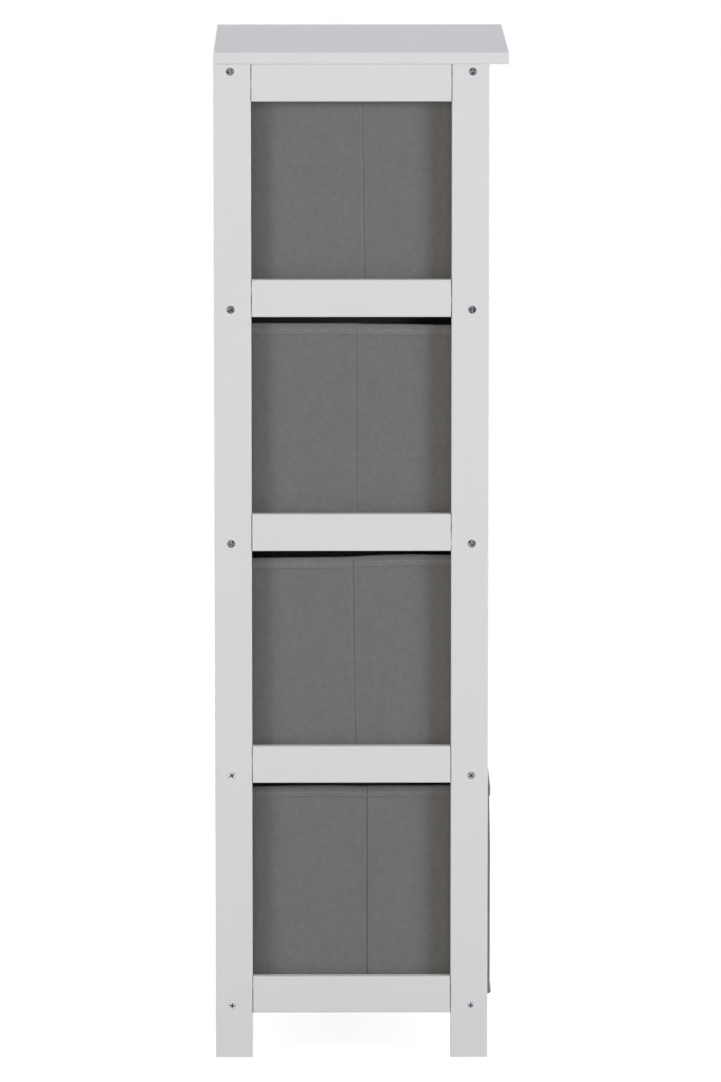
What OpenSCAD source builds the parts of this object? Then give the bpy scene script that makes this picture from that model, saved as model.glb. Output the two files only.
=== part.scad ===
// Tall narrow drawer unit: two ladder frames, a top, four shelves and four fabric drawers.
// X runs across the width, the drawers open towards -Y, and Z is up.
// The origin is on the floor, below the middle of the top panel. Lengths are in millimetres.

/* [Overall size] */
// Height from the floor to the top surface
unit_h = 1040; // [960:5:1160]
// Width across the two side frames
unit_w = 330; // [290:5:420]
// Depth of the top panel
unit_d = 300; // [270:5:380]

/* [Side frames] */
// Thickness of posts and rails
frame_t = 12; // [11:0.5:18]
// Width of a post, seen from the side
post_w = 38; // [36:1:50]
// Height of a rail
rail_h = 38; // [30:1:50]
// Height of the lowest rails and the lowest shelf above the floor
foot_h = 47; // [25:1:90]
// Rounding along the edges of the wooden pieces
edge_r = 1; // [0.5:0.25:2]

/* [Boards] */
// Thickness of the top panel
top_t = 12; // [11:0.5:18]
// How far the top panel stands out in front of the posts
top_overhang = 20; // [0:1:40]
// Thickness of the shelves and of the two battens under the top panel
shelf_t = 15; // [12:0.5:18]
// Width of each batten
batten_w = 35; // [30:1:60]
// Extra height of the top bay
top_bay_extra = 2; // [0:1:10]
// Thickness of the back panel
panel_t = 3; // [2.5:0.5:5]
// Width of the rebate that holds each upright edge of the back panel
rebate_w = 6; // [4:0.5:8]

/* [Dowels] */
// Diameter of a dowel
dowel_d = 6; // [5:0.5:8]
// Length of a dowel, half of it in each piece
dowel_l = 30; // [20:2:34]
// Distance from a rail's edge to the dowel's axis
dowel_inset = 9; // [6:0.5:12]

/* [Screws and nails] */
// Diameter of a screw's shank
screw_d = 4; // [3:0.5:5]
// Diameter of a screw's countersunk head
screw_head_d = 8; // [7:0.5:10]
// Length of the screws that hold shelves and battens to the posts
screw_l = 40; // [30:5:50]
// Distance from a post's outer edge to the screw's axis
screw_inset = 17; // [12:0.5:18]
// Length of the screws that hold the top panel
top_screw_l = 22; // [19:1:24]
// Distance from a batten's end to the top panel's screw
top_screw_inset = 60; // [45:5:90]
// Width of the slots in a screw's cross recess
recess_w = 1; // [0.8:0.1:1.4]
// Length of the back panel's nails
nail_l = 14; // [10:1:14]
// Diameter of a nail's shank
nail_d = 1.4; // [1:0.2:2]
// Distance from a shelf's end to the outermost nail
nail_inset = 40; // [20:5:80]

/* [Drawers] */
// Gap between a drawer's side and the side frame
drawer_side_gap = 8; // [4:0.5:15]
// Height kept free above a drawer
drawer_top_gap = 10; // [4:0.5:25]
// Depth kept free behind a drawer that is flush with the posts
drawer_rear_gap = 23; // [16:1:60]
// How far each drawer stands pushed in from flush, the top drawer first
drawer_push = [0.5, 7.5, 10, -3]; // [-5:0.5:12]
// Rounding of a drawer's upright corners
drawer_corner_r = 4; // [3:0.5:8]

/* [Drawer layers] */
// Thickness of the outer cloth
cover_t = 1; // [0.8:0.1:2]
// Thickness of the stiffening boards in the walls
stiffener_t = 2; // [1:0.5:4]
// How far the stiffening boards stop below the rim
stiffener_drop = 3; // [2:0.5:8]
// Thickness of the lining cloth
lining_t = 0.8; // [0.4:0.1:1.5]
// Thickness of the loose base board
base_t = 3; // [2:0.5:6]
// Width of the bare strip between two stiffening boards, where a side folds
fold_w = 4; // [3:0.5:8]
// Depth of the stitched crease on the outside of the fold
crease_depth = 0.4; // [0.2:0.1:0.6]
// Height of the hem band round the rim
hem_h = 10.5; // [8:0.5:20]
// Thickness of the hem band
hem_t = 0.8; // [0.4:0.1:1.5]
// Height of the sewn edge round the bottom
seam_h = 5; // [3:0.5:10]
// How far the sewn edge stands out
seam_lip = 1.2; // [0.6:0.1:2]

/* [Handles] */
// Length of a handle strap with its sewn ends
handle_l = 130; // [110:5:180]
// Width of the strap
handle_w = 25; // [20:1:40]
// Thickness of the strap
handle_t = 1.6; // [1.2:0.2:3]
// How far the strap stands off the front between its sewn ends
handle_gap = 2; // [2:0.1:12]
// Length of each sewn end
handle_end = 22; // [15:1:30]
// Length over which the strap rises from its sewn end
handle_rise = 21; // [15:1:28]
// Drop from the rim to the strap's centre line
handle_drop = 66; // [30:1:120]

/* [Clearances] */
// Clearance all round screws, nails and dowels
pin_gap = 0.05; // [0.02:0.01:0.1]
// Gap between the layers of a drawer
layer_gap = 0.1; // [0.05:0.05:0.3]
// Gap below a drawer's cloth
seat_gap = 0.3; // [0.2:0.1:0.6]
// Gap between the back panel and its rebates
panel_gap = 0.3; // [0.1:0.1:0.6]

/* [Hidden] */
$fn = 48;
tiers = 4;
tier_list = [1 : tiers];
cut = 1;

// Side frames and boards
frame_h = unit_h - top_t;
frame_d = unit_d - top_overhang;
front_y = -unit_d / 2 + top_overhang;
back_y = unit_d / 2;
rail_l = frame_d - 2 * post_w;
inner_w = unit_w - 2 * frame_t;
shelf_back_y = back_y - panel_t;
bay_h = (frame_h - foot_h - (tiers + 1) * shelf_t - top_bay_extra) / tiers;
tier_pitch = bay_h + shelf_t;

// Heights of level 0, under the top panel, and of the shelves 1 to 4 from the top down
function board_z(level) = level == 0 ? frame_h - shelf_t : foot_h + (tiers - level) * tier_pitch;
function rail_z(level) = level == 0 ? frame_h - rail_h : board_z(level);

// Screws, dowels and nails
screw_r = screw_d / 2;
screw_head_r = screw_head_d / 2;
screw_rim = 0.3;
screw_tip = 4;
recess_depth = 2.4;
recess_reach = 0.6 * screw_head_r;
dowel_chamfer = 0.8;
dowel_relief = 0.5;
nail_r = nail_d / 2;
nail_head_r = 1.25 * nail_d;
nail_head_t = 0.8;
nails_per_board = 3;

// A drawer's walls, as distances inwards from the outside of the cover
stiffener_at = cover_t + layer_gap;
lining_at = stiffener_at + stiffener_t + layer_gap;
inside_at = lining_at + lining_t;
drawer_w = inner_w - 2 * drawer_side_gap;
drawer_d = frame_d - panel_t - drawer_rear_gap;
drawer_h = bay_h - drawer_top_gap;
wall_h = drawer_h - hem_t - layer_gap;
stiffener_end = drawer_corner_r + 0.5;
crease_w = 0.75 * fold_w;
handle_steps = 8;

WHITE = [0.86, 0.86, 0.87];
GREY_CLOTH = [0.43, 0.43, 0.42];
DARK_CLOTH = [0.36, 0.36, 0.35];
BOARD = [0.72, 0.6, 0.45];
BEECH = [0.8, 0.65, 0.45];
ZINC = [0.7, 0.71, 0.73];

FRAME_NODES = [
    "top_panel", "front_batten", "back_batten", "back_panel",
    "left_front_post", "left_back_post", "right_front_post", "right_back_post",
    "left_top_rail", "right_top_rail",
    "left_frame_dowels", "right_frame_dowels",
    "left_frame_screws", "right_frame_screws",
    "top_screws", "back_panel_nails"
];
TIER_NODES = [
    for (i = tier_list)
        each [
            str("left_rail_", i), str("right_rail_", i), str("shelf_", i),
            str("drawer_", i, "_cover"), str("drawer_", i, "_stiffeners"),
            str("drawer_", i, "_lining"), str("drawer_", i, "_base_board"),
            str("drawer_", i, "_hem"), str("drawer_", i, "_handle")
        ]
];

// A rectangle about the origin with its corners rounded
module round_rect(w, h, r) {
    square([w, h - 2 * r], center = true);
    square([w - 2 * r, h], center = true);
    for (x = [-1, 1], y = [-1, 1])
        translate([x * (w / 2 - r), y * (h / 2 - r)])
            circle(r);
}

// A box with its lowest corner at the origin and the four edges along Z rounded
module bar_z(size, r = edge_r) {
    translate([size.x / 2, size.y / 2, 0])
        linear_extrude(size.z)
            round_rect(size.x, size.y, r);
}

// The same with the edges along Y rounded
module bar_y(size) {
    translate([0, size.y, 0])
        rotate([90, 0, 0])
            bar_z([size.x, size.z, size.y]);
}

// The same with the edges along X rounded
module bar_x(size) {
    rotate([90, 0, 90])
        bar_z([size.y, size.z, size.x]);
}

// A countersunk screw that points up from its head at the origin
module screw(length) {
    difference() {
        rotate_extrude()
            polygon([
                [0, 0],
                [screw_head_r, 0],
                [screw_head_r, screw_rim],
                [screw_r, screw_rim + screw_head_r - screw_r],
                [screw_r, length - screw_tip],
                [0, length]
            ]);
        cross_recess();
    }
}

// The cross recess in a screw's head, narrowing to a point
module cross_recess() {
    intersection() {
        translate([0, 0, -recess_depth / 4])
            cylinder(h = 1.25 * recess_depth, r1 = 1.25 * recess_reach, r2 = 0);
        for (turn = [0, 90])
            rotate(turn)
                cube([2 * screw_head_r, recess_w, 4 * recess_depth], center = true);
    }
}

// The hole for that screw, open at the head
module screw_hole(length) {
    rotate_extrude()
        polygon([
            [0, -cut],
            [screw_head_r + pin_gap, -cut],
            [screw_head_r + pin_gap, screw_rim],
            [screw_r + pin_gap, screw_rim + screw_head_r - screw_r],
            [screw_r + pin_gap, length + pin_gap],
            [0, length + pin_gap]
        ]);
}

// Puts its children where the left posts are screwed to the board of one level, pointing inwards
module at_frame_screws(level, ends = [-1, 1]) {
    for (end = ends)
        translate([
            -unit_w / 2,
            end < 0 ? front_y + screw_inset : back_y - screw_inset,
            board_z(level) + shelf_t / 2
        ])
            rotate([0, 90, 0])
                children();
}

// Puts its children in the middle of the left dowels of one level, along Y
module at_dowels(level, ends = [-1, 1]) {
    for (end = ends, z = [dowel_inset, rail_h - dowel_inset])
        translate([
            -(unit_w - frame_t) / 2,
            end < 0 ? front_y + post_w : back_y - post_w,
            rail_z(level) + z
        ])
            rotate([90, 0, 0])
                children();
}

// Puts its children at the nails of one level, pointing forwards from the back
module at_nails(level) {
    reach = inner_w / 2 - nail_inset;
    for (i = [0 : nails_per_board - 1])
        translate([
            -reach + 2 * reach * i / (nails_per_board - 1),
            back_y,
            board_z(level) + shelf_t / 2
        ])
            rotate([90, 0, 0])
                children();
}

// Puts its children at the top panel's screws in one batten, pointing up
module at_top_screws(end) {
    for (side = [-1, 1])
        translate([
            side * (inner_w / 2 - top_screw_inset),
            end < 0 ? front_y + batten_w / 2 : shelf_back_y - batten_w / 2,
            board_z(0)
        ])
            children();
}

module dowel_hole() {
    cylinder(h = dowel_l + 2 * dowel_relief, r = dowel_d / 2 + pin_gap, center = true);
}

module nail(gap = 0) {
    cylinder(h = nail_head_t + gap, r = nail_head_r + gap);
    cylinder(h = nail_l + gap, r = nail_r + gap);
}

module nail_hole() {
    nail(pin_gap);
    translate([0, 0, -cut])
        cylinder(h = cut + nail_head_t, r = nail_head_r + pin_gap);
}

// Side frames

module post(end) {
    y = end < 0 ? front_y : back_y - post_w;
    color(WHITE)
        difference() {
            translate([-unit_w / 2, y, 0])
                bar_z([frame_t, post_w, frame_h]);
            for (level = [0 : tiers]) {
                at_frame_screws(level, [end])
                    screw_hole(screw_l);
                at_dowels(level, [end])
                    dowel_hole();
            }
            if (end > 0)
                translate([-inner_w / 2 - rebate_w, shelf_back_y, foot_h])
                    cube([rebate_w + cut, panel_t + cut, frame_h - foot_h + cut]);
        }
}

module left_front_post() {
    post(-1);
}

module left_back_post() {
    post(1);
}

module right_front_post() {
    mirror([1, 0, 0]) left_front_post();
}

module right_back_post() {
    mirror([1, 0, 0]) left_back_post();
}

module left_rail(level) {
    color(WHITE)
        difference() {
            translate([-unit_w / 2, front_y + post_w, rail_z(level)])
                bar_y([frame_t, rail_l, rail_h]);
            at_dowels(level)
                dowel_hole();
        }
}

module right_rail(level) {
    mirror([1, 0, 0]) left_rail(level);
}

module left_frame_dowels() {
    color(BEECH)
        for (level = [0 : tiers])
            at_dowels(level)
                for (turn = [0, 180])
                    rotate([turn, 0, 0]) {
                        cylinder(h = dowel_l / 2 - dowel_chamfer, r = dowel_d / 2);
                        translate([0, 0, dowel_l / 2 - dowel_chamfer])
                            cylinder(h = dowel_chamfer, r1 = dowel_d / 2, r2 = dowel_d / 2 - dowel_chamfer);
                    }
}

module right_frame_dowels() {
    mirror([1, 0, 0]) left_frame_dowels();
}

module left_frame_screws() {
    color(ZINC)
        for (level = [0 : tiers])
            at_frame_screws(level)
                screw(screw_l);
}

module right_frame_screws() {
    mirror([1, 0, 0]) left_frame_screws();
}

// Boards between the side frames

module top_panel() {
    color(WHITE)
        difference() {
            translate([-unit_w / 2, -unit_d / 2, frame_h])
                intersection() {
                    bar_x([unit_w, unit_d, top_t]);
                    bar_y([unit_w, unit_d, top_t]);
                    bar_z([unit_w, unit_d, top_t]);
                }
            for (end = [-1, 1])
                at_top_screws(end)
                    screw_hole(top_screw_l);
        }
}

// A board of one level, from y on, with the holes of its screws and nails
module cross_board(level, y, depth) {
    color(WHITE)
        difference() {
            translate([-inner_w / 2, y, board_z(level)])
                bar_x([inner_w, depth, shelf_t]);
            for (side = [0, 1])
                mirror([side, 0, 0])
                    at_frame_screws(level)
                        screw_hole(screw_l);
            at_nails(level)
                nail_hole();
            if (level == 0)
                for (end = [-1, 1])
                    at_top_screws(end)
                        screw_hole(top_screw_l);
        }
}

module shelf(level) {
    cross_board(level, front_y, shelf_back_y - front_y);
}

module front_batten() {
    cross_board(0, front_y, batten_w);
}

module back_batten() {
    cross_board(0, shelf_back_y - batten_w, batten_w);
}

module top_screws() {
    color(ZINC)
        for (end = [-1, 1])
            at_top_screws(end)
                screw(top_screw_l);
}

module back_panel() {
    half_w = inner_w / 2 + rebate_w - panel_gap;
    color(WHITE)
        difference() {
            translate([-half_w, shelf_back_y, foot_h + panel_gap])
                cube([2 * half_w, panel_t, frame_h - foot_h - 2 * panel_gap]);
            for (level = [0 : tiers])
                at_nails(level)
                    nail_hole();
        }
}

module back_panel_nails() {
    color(ZINC)
        for (level = [0 : tiers])
            at_nails(level)
                nail();
}

// Drawers

// Puts its children in drawer i, at the middle of its front edge on the floor of the drawer
module in_drawer(i) {
    translate([0, front_y + drawer_push[i - 1], board_z(i) + shelf_t + seat_gap])
        children();
}

// An upright block over the drawer's outline, moved inwards by inset
module drawer_block(inset, z, h) {
    translate([0, drawer_d / 2, z])
        linear_extrude(h)
            round_rect(
                drawer_w - 2 * inset,
                drawer_d - 2 * inset,
                max(drawer_corner_r - inset, edge_r / 2)
            );
}

module drawer_cover(i) {
    color(GREY_CLOTH)
        in_drawer(i)
            difference() {
                union() {
                    drawer_block(0, 0, wall_h);
                    drawer_block(-seam_lip, 0, seam_h);
                }
                drawer_block(cover_t, cover_t, drawer_h);
                for (side = [-1, 1])
                    translate([side * drawer_w / 2, drawer_d / 2, seam_h + wall_h / 2])
                        cube([2 * crease_depth, crease_w, wall_h], center = true);
            }
}

// The flat boards between cover and lining: one at the front and back, two in each side
module drawer_stiffeners(i) {
    h = wall_h - cover_t - layer_gap - stiffener_drop;
    half_l = (drawer_d - fold_w) / 2 - stiffener_end;
    color(BOARD)
        in_drawer(i)
            translate([0, 0, cover_t + layer_gap]) {
                for (y = [stiffener_at, drawer_d - stiffener_at - stiffener_t])
                    translate([-drawer_w / 2 + stiffener_end, y, 0])
                        cube([drawer_w - 2 * stiffener_end, stiffener_t, h]);
                for (side = [0, 1], y = [stiffener_end, (drawer_d + fold_w) / 2])
                    mirror([side, 0, 0])
                        translate([drawer_w / 2 - stiffener_at - stiffener_t, y, 0])
                            cube([stiffener_t, half_l, h]);
            }
}

module drawer_lining(i) {
    z = cover_t + layer_gap;
    color(DARK_CLOTH)
        in_drawer(i)
            difference() {
                drawer_block(lining_at, z, wall_h - z);
                drawer_block(inside_at, z + lining_t, wall_h);
            }
}

module drawer_base_board(i) {
    color(DARK_CLOTH)
        in_drawer(i)
            drawer_block(inside_at + seat_gap, cover_t + lining_t + 2 * layer_gap, base_t);
}

// The hem band, a strip of cloth folded over the rim
module drawer_hem(i) {
    color(GREY_CLOTH)
        in_drawer(i)
            difference() {
                drawer_block(-hem_t - layer_gap, drawer_h - hem_h, hem_h);
                drawer_block(inside_at + layer_gap + hem_t, drawer_h - hem_h - cut, hem_h + 2 * cut);
                difference() {
                    drawer_block(-layer_gap, drawer_h - hem_h - cut, hem_h + cut - hem_t);
                    drawer_block(inside_at + layer_gap, drawer_h - hem_h - 2 * cut, hem_h + 3 * cut);
                }
            }
}

// How far the back of the strap stands off the cover at the distance x from its middle
function strap_rise(x) =
    let (top_end = handle_l / 2 - handle_end - handle_rise)
    let (s = min(max((x - top_end) / handle_rise, 0), 1))
    handle_gap * (1 + cos(180 * s)) / 2;

// The handle, a strap sewn to the front at both ends
module drawer_handle(i) {
    top_end = handle_l / 2 - handle_end - handle_rise;
    half = concat([for (k = [0 : handle_steps]) top_end + handle_rise * k / handle_steps], [handle_l / 2]);
    xs = concat([for (k = [len(half) - 1 : -1 : 0]) -half[k]], half);
    back = [for (x = xs) [x, -strap_rise(abs(x))]];
    front = [for (k = [len(xs) - 1 : -1 : 0]) [xs[k], -strap_rise(abs(xs[k])) - handle_t]];
    color(GREY_CLOTH)
        in_drawer(i)
            translate([0, 0, drawer_h - handle_drop - handle_w / 2])
                linear_extrude(handle_w)
                    polygon(concat(back, front));
}

top_panel();
front_batten();
back_batten();
back_panel();
left_front_post();
left_back_post();
right_front_post();
right_back_post();
left_rail(0);  // left_top_rail
right_rail(0);  // right_top_rail
left_frame_dowels();
right_frame_dowels();
left_frame_screws();
right_frame_screws();
top_screws();
back_panel_nails();
for (i = tier_list) {
    left_rail(i);
    right_rail(i);
    shelf(i);
    drawer_cover(i);
    drawer_stiffeners(i);
    drawer_lining(i);
    drawer_base_board(i);
    drawer_hem(i);
    drawer_handle(i);
}
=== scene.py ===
import math

import bpy
import numpy as np
from mathutils import Matrix, Vector


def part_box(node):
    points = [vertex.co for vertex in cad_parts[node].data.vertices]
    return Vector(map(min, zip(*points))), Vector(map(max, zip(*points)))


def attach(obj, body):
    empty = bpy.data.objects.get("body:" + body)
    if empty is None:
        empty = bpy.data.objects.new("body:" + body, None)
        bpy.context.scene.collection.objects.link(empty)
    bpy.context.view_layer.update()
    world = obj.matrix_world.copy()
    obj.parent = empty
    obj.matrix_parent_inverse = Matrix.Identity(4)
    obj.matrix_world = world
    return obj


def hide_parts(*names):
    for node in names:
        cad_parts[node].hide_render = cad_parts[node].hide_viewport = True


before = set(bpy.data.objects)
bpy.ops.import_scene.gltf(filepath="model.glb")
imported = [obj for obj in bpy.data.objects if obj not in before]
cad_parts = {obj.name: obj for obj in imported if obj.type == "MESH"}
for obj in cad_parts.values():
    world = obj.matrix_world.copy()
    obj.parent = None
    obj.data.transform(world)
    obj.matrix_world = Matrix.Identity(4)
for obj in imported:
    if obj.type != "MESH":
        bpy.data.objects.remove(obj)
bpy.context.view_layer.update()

# Studio.
# The unit stands on a plain white floor, seen from its left side and a little from above.
# Soft lamps off its corners rake along the sides; faint ones round and above it fill the shade.

CAMERA_DISTANCE = 8.0
CAMERA_HEIGHT = 1.7434
CAMERA_Y = 0.0496
CAMERA_TILT = math.radians(8.7363)
CAMERA_TURN = math.radians(0.3567)
CAMERA_REACH = 100
FOCAL_PIXELS = 7752.7
PHOTO_HEIGHT = 1082
SENSOR = 36.0

bpy.ops.object.camera_add(location=(-CAMERA_DISTANCE, CAMERA_Y, CAMERA_HEIGHT))
camera = bpy.context.object
camera.data.sensor_width = SENSOR
camera.data.lens = FOCAL_PIXELS / PHOTO_HEIGHT * SENSOR
camera.data.clip_end = CAMERA_REACH
aim = Vector((
    math.cos(CAMERA_TILT) * math.cos(CAMERA_TURN),
    -math.cos(CAMERA_TILT) * math.sin(CAMERA_TURN),
    -math.sin(CAMERA_TILT),
))
camera.rotation_mode = "QUATERNION"
camera.rotation_quaternion = aim.to_track_quat("-Z", "Y")
bpy.context.scene.camera = camera

UNIT_MIDDLE = Vector((0, 0, 0.6))
LAMP_HEIGHT = 1.45
LAMP_TALL = 1.3
# Each corner lamp's place on the floor, width, watts and colour. The left pair is a little warm
# behind and cool in front. The right pair is weaker, so that front and back keep their tone.
CORNER_LAMPS = {
    "left_back_light": ((-2.55, 2.80), 1.66, 68.2, (1.0, 0.946, 0.827)),
    "left_front_light": ((-2.25, -3.02), 1.43, 91.6, (0.896, 0.918, 1.0)),
    "right_back_light": ((2.55, 2.80), 1.66, 62, (0.98, 0.98, 1.0)),
    "right_front_light": ((2.25, -3.02), 1.43, 60, (1.0, 0.98, 0.95)),
}
FILL_DISTANCE = 9.5
FILL_HEIGHT = 1.0
FILL_SIZE = 2.5
FILL_WATTS = 47
ABOVE_HEIGHT = 3.2
ABOVE_SIZE = 1.2
ABOVE_WATTS = 12.4
ABOVE_COLOUR = (0.966, 0.846, 1.0)


def soft_light(name, place, width, height, watts, colour):
    """A rectangular lamp that faces the middle of the unit."""
    bpy.ops.object.light_add(type="AREA", location=place)
    light = bpy.context.object
    light.name = name
    light.data.shape = "RECTANGLE"
    light.data.size = width
    light.data.size_y = height
    light.data.energy = watts
    light.data.color = colour
    light.visible_camera = False
    light.rotation_mode = "QUATERNION"
    light.rotation_quaternion = (UNIT_MIDDLE - Vector(place)).to_track_quat("-Z", "Z")


for name, ((x, y), width, watts, colour) in CORNER_LAMPS.items():
    soft_light(name, (x, y, LAMP_HEIGHT), width, LAMP_TALL, watts, colour)
for k, (x, y) in enumerate(((-1, 0), (1, 0), (0, -1), (0, 1))):
    place = (x * FILL_DISTANCE, y * FILL_DISTANCE, FILL_HEIGHT)
    soft_light(f"fill_light_{k + 1}", place, FILL_SIZE, FILL_SIZE, FILL_WATTS, (1, 1, 1))
soft_light("light_above", (0, 0, ABOVE_HEIGHT), ABOVE_SIZE, ABOVE_SIZE, ABOVE_WATTS, ABOVE_COLOUR)


class Shade:
    """A socket that expressions can be written with; each operator adds its own node."""

    def __init__(self, tree, socket):
        self.tree = tree
        self.socket = socket

    def node(self, kind, settings=None, inputs=None, output=0):
        """Adds a node of that type, with its settings, and the values or links of its sockets."""
        made = self.tree.nodes.new(kind)
        for name, value in (settings or {}).items():
            setattr(made, name, value)
        for name, value in (inputs or {}).items():
            if isinstance(value, Shade):
                self.tree.links.new(value.socket, made.inputs[name])
            else:
                made.inputs[name].default_value = value
        return Shade(self.tree, made.outputs[output])

    def maths(self, operation, first, second=0.0):
        return self.node("ShaderNodeMath", {"operation": operation}, {0: first, 1: second})

    def __add__(self, other):
        return self.maths("ADD", self, other)

    __radd__ = __add__

    def __mul__(self, other):
        return self.maths("MULTIPLY", self, other)

    __rmul__ = __mul__

    def __sub__(self, other):
        return self.maths("SUBTRACT", self, other)

    def __rsub__(self, other):
        return self.maths("SUBTRACT", other, self)

    def sine(self):
        return self.maths("SINE", self)

    def above(self, other):
        """The greater of the two."""
        return self.maths("MAXIMUM", self, other)

    def axis(self, number):
        """One of the three numbers in a place."""
        return self.node("ShaderNodeSeparateXYZ", None, {0: self}, number)

    def blend(self, low, high):
        """The colour low where this is 0 and high where it is 1."""
        low, high = (c if isinstance(c, Shade) else (*c, 1) for c in (low, high))
        return self.node("ShaderNodeMix", {"data_type": "RGBA"}, {0: self, 6: low, 7: high}, 2)

    def near(self, place, reach):
        """1 where this is at the place, falling to 0 at the reach from it."""
        return (1 - self.maths("ABSOLUTE", self - place) * (1 / reach)).above(0.0)

    def noise(self, scale, detail=2.0, roughness=0.5, stretch=(1, 1, 1)):
        """Noise over the place that this socket holds, drawn out by stretch."""
        place = self.node("ShaderNodeMapping", None, {"Vector": self, "Scale": stretch})
        return self.node(
            "ShaderNodeTexNoise",
            None,
            {"Vector": place, "Scale": scale, "Detail": detail, "Roughness": roughness},
        )

    def relief(self, depth):
        """A bump as deep as this is high, times depth in metres."""
        return self.node("ShaderNodeBump", None, {"Height": self, "Distance": depth})


def new_material(name, **constants):
    """A material, its shader, and the places on the piece and on its cloth to draw patterns by."""
    material = bpy.data.materials.new(name)
    material.use_nodes = True
    tree = material.node_tree
    shader = tree.nodes["Principled BSDF"]
    for socket, value in constants.items():
        shader.inputs[socket.replace("_", " ")].default_value = value
    coordinates = tree.nodes.new("ShaderNodeTexCoord")
    places = {name: Shade(tree, coordinates.outputs[name]) for name in ("Object", "UV")}
    return material, shader, places


def connect(shader, **shades):
    """Links each shade to the shader's socket of its name."""
    for socket, shade in shades.items():
        shade.tree.links.new(shade.socket, shader.inputs[socket.replace("_", " ")])


FLOOR_RADIUS = 3.2
FLOOR_SIDES = 96
FLOOR_GREY = (0.5, 0.5, 0.5, 1)
# The share of its shading that the floor shows the camera, and the glow that makes the rest white
SHADOW_SHARE = 0.35
FLOOR_GLOW = 1.41
# The strength of the white surroundings as light, where the camera sees them at 1
AMBIENT = 0.15


def seen_ray(tree):
    """1 for what the camera sees, also in a mirror or through glass, and 0 for all other light."""
    rays = tree.nodes.new("ShaderNodeLightPath")
    seen = Shade(tree, rays.outputs["Is Camera Ray"])
    for kind in ("Is Glossy Ray", "Is Transmission Ray"):
        seen = seen.above(Shade(tree, rays.outputs[kind]))
    return seen


bpy.ops.mesh.primitive_circle_add(vertices=FLOOR_SIDES, radius=FLOOR_RADIUS, fill_type="NGON")
floor = bpy.context.object
floor.name = "floor"
floor_material, floor_shader, _ = new_material(
    "studio_floor", Base_Color=FLOOR_GREY, Roughness=1.0, Specular_IOR_Level=0.0
)
floor_tree = floor_material.node_tree
seen = seen_ray(floor_tree)
glow = seen.node("ShaderNodeEmission", None, {"Color": (1, 1, 1, 1), "Strength": FLOOR_GLOW})
floor_mix = glow.node(
    "ShaderNodeMixShader",
    None,
    {0: seen * (1 - SHADOW_SHARE), 1: Shade(floor_tree, floor_shader.outputs[0]), 2: glow},
)
floor_tree.links.new(floor_mix.socket, floor_tree.nodes["Material Output"].inputs["Surface"])
floor.data.materials.append(floor_material)

world = bpy.data.worlds.new("studio_world")
bpy.context.scene.world = world
world.use_nodes = True
backdrop = world.node_tree.nodes["Background"]
backdrop.inputs["Color"].default_value = (1, 1, 1, 1)
world_light = seen_ray(world.node_tree) * (1 - AMBIENT) + AMBIENT
world.node_tree.links.new(world_light.socket, backdrop.inputs["Strength"])
bpy.context.scene.view_settings.view_transform = "Standard"

# Side frames.
# Each is a ladder of two flat posts and five rails, dowelled and glued, then sprayed white.
# The sprayed paint is satin, with a faint orange peel, and painted shade darkens each joint.

MM = 0.001
TIERS = range(1, 5)
PAINT_LOW = (0.707, 0.715, 0.734)
PAINT_HIGH = (0.744, 0.752, 0.771)
PAINT_RELIEF = 0.06 * MM
GRAIN_STRETCH = 0.03
JOINT_SHADE = (0.07, 0.06, 0.055)
JOINT_REACH = 0.9 * MM


def white_paint(name, grain_axis, joints=()):
    """Satin white paint, its grain along that axis, with painted shade at the board's joints along
    Y.
    """
    material, shader, places = new_material(name, Specular_IOR_Level=0.15)
    along = [1, 1, 1]
    along["xyz".index(grain_axis)] = GRAIN_STRETCH
    place = places["Object"]
    grain = place.noise(scale=420, detail=3, roughness=0.6, stretch=along)
    cloud = place.noise(scale=9)
    peel = place.noise(scale=1100, detail=1)
    colour = (0.5 * grain + 0.5 * cloud).blend(PAINT_LOW, PAINT_HIGH)
    if joints:
        low, high = (place.axis(1).near(joint, JOINT_REACH) for joint in joints)
        # The painted shade of a joint's gap comes and goes along it
        joint_painted_shade = low.above(high) * (5 * place.noise(scale=60) - 1.3)
        colour = joint_painted_shade.blend(colour, JOINT_SHADE)
    connect(
        shader,
        Base_Color=colour,
        Roughness=0.42 + 0.12 * cloud + 0.08 * peel,
        Normal=(0.6 * peel + 0.4 * grain).relief(PAINT_RELIEF),
    )
    return material


def dress(material, *nodes):
    """Gives CAD nodes their finish in place of the plain one that they come with."""
    for name in nodes:
        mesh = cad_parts[name].data
        for k in range(len(mesh.materials)):
            mesh.materials[k] = material


upright_paint = white_paint("white_paint_upright", "z")
rail_paint = white_paint("white_paint_rail", "y", [corner.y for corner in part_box("left_rail_1")])
board_paint = white_paint("white_paint_board", "x")
dress(upright_paint, "left_front_post", "left_back_post", "right_front_post", "right_back_post")
dress(rail_paint, "left_top_rail", "right_top_rail")
dress(rail_paint, *(f"{side}_rail_{i}" for side in ("left", "right") for i in TIERS))

# Dowels.
# Two fluted beech pins, glued half in the rail and half in the post, hold each of the joints.
# Bare beech is pale, with short darker flecks along the grain.

BEECH_PALE = (0.60, 0.43, 0.26)
BEECH_DARK = (0.44, 0.28, 0.15)
BEECH_RELIEF = 0.08 * MM

beech, beech_shader, beech_places = new_material("beech", Specular_IOR_Level=0.3)
flecks = beech_places["Object"].noise(scale=900, detail=4, roughness=0.6, stretch=(1, 0.08, 1))
connect(
    beech_shader,
    Base_Color=(flecks * flecks * 1.6).blend(BEECH_PALE, BEECH_DARK),
    Roughness=0.6 + 0.2 * flecks,
    Normal=flecks.relief(BEECH_RELIEF),
)
dress(beech, "left_frame_dowels", "right_frame_dowels")

# Shelves, battens, back panel and top.
# The boards are painted like the frames and screwed on through the posts, the top from below.
# The back panel is thin painted hardboard that lies in rebates of the rear posts.

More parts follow.
